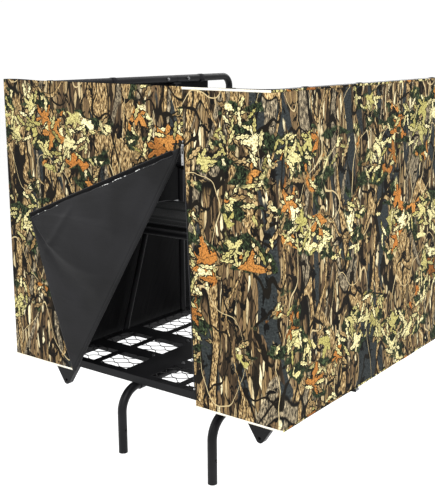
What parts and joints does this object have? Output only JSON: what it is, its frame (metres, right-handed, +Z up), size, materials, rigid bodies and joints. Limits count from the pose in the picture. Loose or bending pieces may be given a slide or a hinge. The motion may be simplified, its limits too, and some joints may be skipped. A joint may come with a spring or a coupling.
{
  "type": "tree stand blind",
  "caption": "Camouflage cloth blind with a zip door, hung round the rail of a two-person ladder stand's platform with a flip-up bench seat.",
  "frame": {"origin": "centre of the tree bracket's rear face, on the plane that is bolted against the tree", "axes": "+X to the user's right when facing the tree, +Y towards the tree, +Z up"},
  "size_m": [1.1615, 1.392, 1.292],
  "materials": {
    "powder_coat": "satin black powder coat, fine orange peel",
    "wire": "black coated wire",
    "zinc_bolt": "zinc plated",
    "camo_cloth": "matt woven polyester, woodland print",
    "coated_cloth": "black coated inner face, soft satin",
    "binding": "cream binding tape",
    "zip_tape": "woven zip tape",
    "zip_metal": "dull nickel",
    "seat_vinyl": "grained vinyl",
    "foam_grip": "closed-cell foam sleeve",
    "black_plastic": "moulded nylon",
    "webbing": "woven webbing"
  },
  "bodies": {
    "stand": {"tree_bracket": "powder_coat", "platform_frame": "powder_coat", "tread_plate": "powder_coat", "mesh_panels": "wire", "cross_tubes": "powder_coat", "ladder_tube_left": "powder_coat", "ladder_tube_right": "powder_coat", "ladder_saddles": "powder_coat", "brace_bracket_left": "powder_coat", "brace_bracket_right": "powder_coat", "platform_bolts": "zinc_bolt", "strut_left": "powder_coat", "strut_right": "powder_coat", "strut_bolts": "zinc_bolt", "rail_front": "powder_coat", "rail_rear_left": "powder_coat", "rail_rear_right": "powder_coat", "rail_sleeves": "powder_coat", "rail_bolts": "zinc_bolt", "rear_post_left": "powder_coat", "rear_post_right": "powder_coat", "back_bar": "powder_coat", "back_pad": "foam_grip", "seat_pins": "zinc_bolt", "seat_rests": "powder_coat", "left_wall": "camo_cloth", "right_wall": "camo_cloth", "front_left_panel": "camo_cloth", "front_right_panel": "camo_cloth", "top_trim": "binding", "hem_trim": "binding", "rail_ties": "webbing", "frame_zip_tape": "zip_tape", "frame_zip_chain": "zip_metal", "zip_stops": "zip_metal", "door_fold_roll": "coated_cloth"},
    "door": {"door_flap": "coated_cloth", "door_zip_tape": "zip_tape", "door_zip_chain": "zip_metal"},
    "seat": {"seat_frame": "powder_coat", "seat_slats": "powder_coat", "seat_cushion": "seat_vinyl", "seat_rest_pads": "black_plastic"},
    "slider": {"zip_slider": "zip_metal"},
    "pull": {"zip_pull": "zip_metal"}
  },
  "joints": [
    {"name": "door_fold", "type": "hinge", "parent": "stand", "child": "door", "pos_m": [0.24608, -1.2925, 0.868], "axis": [0.5247, 0, 0.8513], "range_deg": [0, 180]},
    {"name": "seat_flip", "type": "hinge", "parent": "stand", "child": "seat", "pos_m": [0, -0.4775, 0.495], "axis": [-1, 0, 0], "range_deg": [0, 92]},
    {"name": "zip_slide", "type": "slide", "parent": "stand", "child": "slider", "axis": [0.0392, 0, -0.9992], "range_m": [0, 0.719]},
    {"name": "pull_swing", "type": "hinge", "parent": "slider", "child": "pull", "pos_m": [0.24408, -1.2977, 0.85291], "axis": [-0.9992, 0, -0.0392], "range_deg": [0, 160]}
  ]
}
